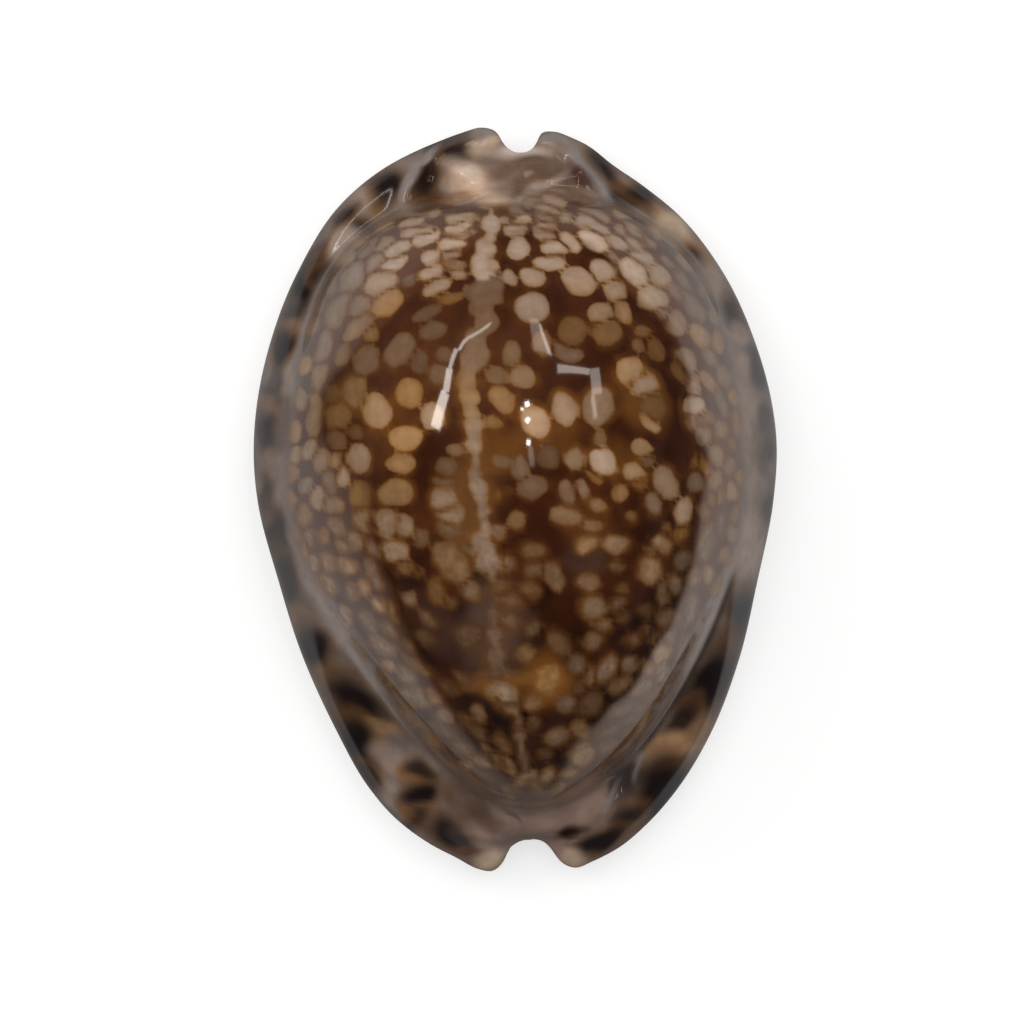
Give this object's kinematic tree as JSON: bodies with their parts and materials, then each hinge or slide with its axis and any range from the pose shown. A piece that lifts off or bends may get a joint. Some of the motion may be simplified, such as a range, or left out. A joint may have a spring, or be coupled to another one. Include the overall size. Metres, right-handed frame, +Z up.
{
  "type": "cowrie shell",
  "caption": "Glossy egg-shaped cowrie shell with a domed back, flared margins, notched ends and a toothed slit along its flat base.",
  "frame": {"origin": "on the ground under the middle of the shell, in the plane of its flat base", "axes": "+Z up through the dome, +Y to the blunt spire end, -Y to the tapering front end, +X to the inner-lip side, -X to the outer-lip side"},
  "size_m": [0.0436, 0.0621, 0.0286],
  "materials": {
    "shell": "polished natural shell enamel, dark brown net over cream spots on the back, blotched taupe margins, pale fawn base"
  },
  "bodies": {
    "root": {"cowrie_shell": "shell"}
  },
  "joints": []
}
